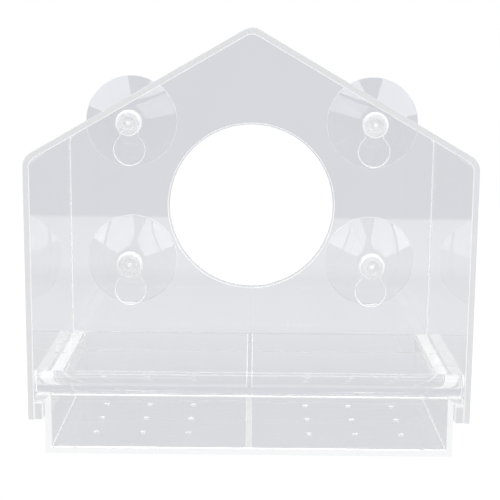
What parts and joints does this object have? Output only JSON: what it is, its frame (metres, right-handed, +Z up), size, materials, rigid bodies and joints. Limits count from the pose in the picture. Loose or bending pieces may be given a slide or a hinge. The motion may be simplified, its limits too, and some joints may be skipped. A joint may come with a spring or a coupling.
{
  "type": "window bird feeder",
  "caption": "Clear acrylic house-shaped bird feeder hung on a window by suction cups, with a round viewing hole, a perch rod and a divided seed tray that slides out.",
  "frame": {"origin": "on the window glass, in the middle of the four suction cups", "axes": "+X across the window to the right as seen from the open front, +Y from the open front to the glass, +Z up"},
  "size_m": [0.2, 0.1375, 0.1927],
  "materials": {
    "clear_acrylic": "clear polished sheet",
    "soft_pvc": "clear soft moulding, glossy"
  },
  "bodies": {
    "window_cups": {"suction_cup_upper_left": "soft_pvc", "suction_cup_upper_right": "soft_pvc", "suction_cup_lower_left": "soft_pvc", "suction_cup_lower_right": "soft_pvc"},
    "house": {"house_shell": "clear_acrylic", "back_panel": "clear_acrylic", "perch_rod": "clear_acrylic", "tray_runner_left": "clear_acrylic", "tray_runner_right": "clear_acrylic"},
    "tray": {"tray_channel": "clear_acrylic", "tray_front_wall": "clear_acrylic", "tray_back_wall": "clear_acrylic", "tray_divider": "clear_acrylic"}
  },
  "joints": [
    {"name": "house_lift", "type": "slide", "parent": "window_cups", "child": "house", "axis": [0, 0, 1], "range_m": [0, 0.0145]},
    {"name": "tray_slide", "type": "slide", "parent": "house", "child": "tray", "axis": [0, -1, 0], "range_m": [0, 0.1197]}
  ]
}
